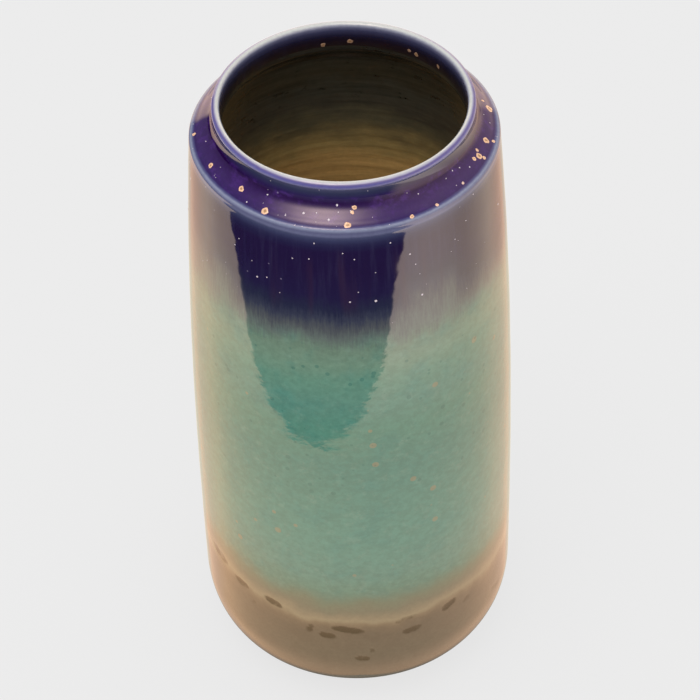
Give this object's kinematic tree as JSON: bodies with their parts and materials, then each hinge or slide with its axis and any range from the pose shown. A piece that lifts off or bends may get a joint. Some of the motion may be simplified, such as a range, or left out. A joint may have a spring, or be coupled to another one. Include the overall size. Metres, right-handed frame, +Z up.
{
  "type": "pottery vase",
  "caption": "Tall wheel-thrown stoneware vase with a gently tapered wall, a ridged shoulder, a short neck with a rounded lip, and banded glossy glazes over a bare clay foot.",
  "frame": {"origin": "centre of the circle the foot ring stands on, at table height", "axes": "+Z up along the vase's axis, out of its mouth; the vase is round, so +X and +Y are any two level directions at a right angle, and the side towards -Y is taken as the front"},
  "size_m": [0.1346, 0.1346, 0.284],
  "materials": {
    "bare_stoneware": "matte, unglazed fired clay",
    "amber_liner_glaze": "glossy olive to amber brown",
    "cobalt_glaze": "glossy dark blue-violet, breaking pale on the lip and ridge",
    "turquoise_glaze": "glossy mottled blue-green",
    "tan_glaze": "glossy tan to brown"
  },
  "bodies": {
    "root": {"stoneware_body": "bare_stoneware", "liner_glaze": "amber_liner_glaze", "cobalt_glaze": "cobalt_glaze", "turquoise_glaze": "turquoise_glaze", "tan_glaze": "tan_glaze"}
  },
  "joints": []
}
